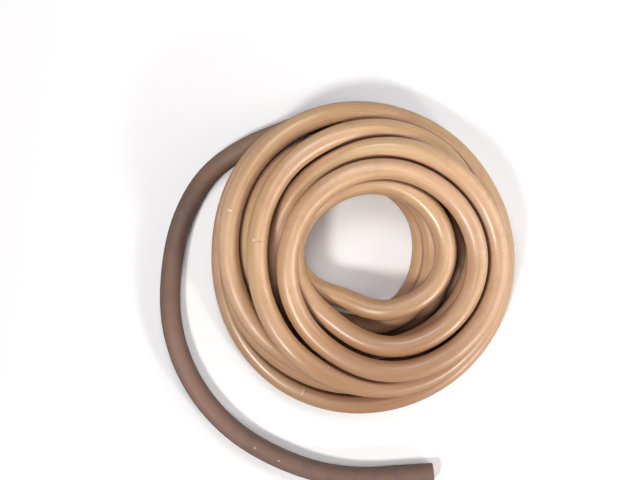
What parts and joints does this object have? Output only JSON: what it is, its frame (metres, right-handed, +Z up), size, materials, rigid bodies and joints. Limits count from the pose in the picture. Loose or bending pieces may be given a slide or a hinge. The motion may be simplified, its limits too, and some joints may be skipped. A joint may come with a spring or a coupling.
{
  "type": "rubber gas tubing",
  "caption": "Thick-walled rubber gas tube, hollow from end to end, lying in a loose flat coil with its free end let out beside it to push onto a nozzle.",
  "frame": {"origin": "middle of the box that the whole hose fills, coil and tail, on the surface that it lies on", "axes": "+Z up, through the flat side of the coil; +X the way the free end's mouth faces, to within 5 degrees; +Y across the coil"},
  "size_m": [0.2122, 0.2286, 0.0459],
  "materials": {
    "rubber": "satin"
  },
  "bodies": {
    "root": {"tubing": "rubber"}
  },
  "joints": []
}
